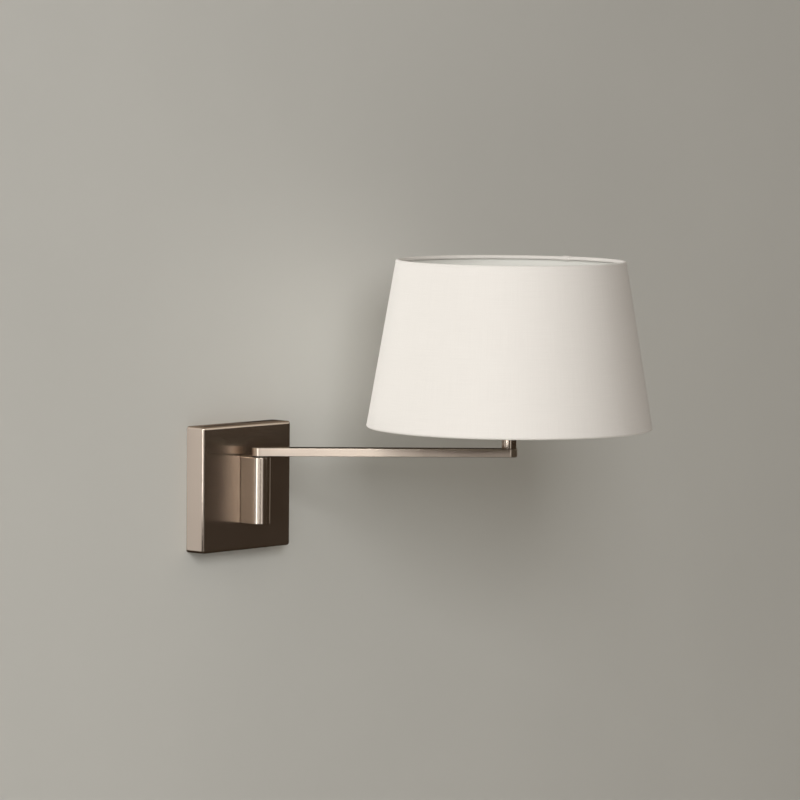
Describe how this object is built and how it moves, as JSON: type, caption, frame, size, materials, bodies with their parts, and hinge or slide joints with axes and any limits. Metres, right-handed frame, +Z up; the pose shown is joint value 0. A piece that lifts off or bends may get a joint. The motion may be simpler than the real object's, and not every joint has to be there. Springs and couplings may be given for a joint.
{
  "type": "swing arm wall sconce",
  "caption": "Wall lamp with a square wall box, a vertical pivot block, one flat swinging arm and a tapered fabric shade over an upright bulb.",
  "frame": {"origin": "centre of the wall bracket's back face, on the wall plane", "axes": "+Y into the wall, +Z up, +X to the right when facing the wall; the arm rests at 45 degrees out from the wall, towards +X"},
  "size_m": [0.3393, 0.3193, 0.2598],
  "materials": {
    "satin_nickel": "satin brushed nickel, warm grey",
    "zinc_steel": "zinc plated",
    "brass": "plain brass",
    "nickel_cap": "nickel plated lamp cap",
    "white_nylon": "moulded white nylon",
    "black_plastic": "moulded black thermoset",
    "porcelain": "glazed porcelain",
    "white_wire": "white powder coat",
    "shade_fabric": "fine plain weave, off-white, laminated",
    "shade_lining": "matt white laminate",
    "opal_glass": "opal white glass",
    "wire_live": "brown insulation",
    "wire_neutral": "blue insulation",
    "wire_earth": "green and yellow insulation"
  },
  "bodies": {
    "base": {"wall_bracket": "zinc_steel", "backplate_cover": "satin_nickel", "cover_screw_left": "zinc_steel", "cover_screw_right": "zinc_steel", "terminal_block": "white_nylon", "terminal_insert_neutral": "brass", "terminal_insert_earth": "brass", "terminal_insert_live": "brass", "terminal_screw_neutral": "zinc_steel", "terminal_screw_earth": "zinc_steel", "terminal_screw_live": "zinc_steel", "terminal_block_screw": "zinc_steel", "earth_screw": "brass", "earth_ring_tag": "brass", "earth_bond_wire": "wire_earth", "cable_grommet": "white_nylon", "pivot_housing": "satin_nickel", "housing_screw_upper": "zinc_steel", "housing_screw_lower": "zinc_steel", "housing_bottom_cap": "satin_nickel", "upper_bush": "black_plastic", "lower_bush": "black_plastic", "stop_screw": "zinc_steel", "wire_neutral_base": "wire_neutral", "wire_earth_base": "wire_earth", "wire_live_base": "wire_live"},
    "arm": {"pivot_tube": "zinc_steel", "friction_washer": "zinc_steel", "wave_washer": "zinc_steel", "stop_collar": "zinc_steel", "pivot_nut": "brass", "pivot_lock_nut": "brass", "arm_beam": "satin_nickel", "arm_cover_strip": "satin_nickel", "strip_screw": "zinc_steel", "wire_neutral_arm": "wire_neutral", "wire_earth_arm": "wire_earth", "wire_live_arm": "wire_live", "stem_nipple": "zinc_steel", "stem_tube": "satin_nickel", "lampholder_cap": "black_plastic", "lampholder_skirt": "black_plastic", "lampholder_core": "porcelain", "lampholder_shell": "brass", "centre_contact": "brass", "holder_screw_live": "brass", "holder_screw_neutral": "brass", "shade_ring_lower": "black_plastic", "shade_ring_upper": "black_plastic", "shade_carrier": "white_wire", "shade_top_ring": "white_wire", "shade_cover": "shade_fabric", "shade_lining": "shade_lining", "shade_hem_top": "shade_fabric", "shade_hem_bottom": "shade_fabric", "shade_seam": "shade_fabric", "bulb_glass": "opal_glass", "bulb_cap": "nickel_cap", "bulb_contact": "brass"}
  },
  "joints": [
    {"name": "arm_swing", "type": "hinge", "parent": "base", "child": "arm", "pos_m": [0, -0.036, 0.0325], "axis": [0, 0, 1], "range_deg": [-109, 19]}
  ]
}
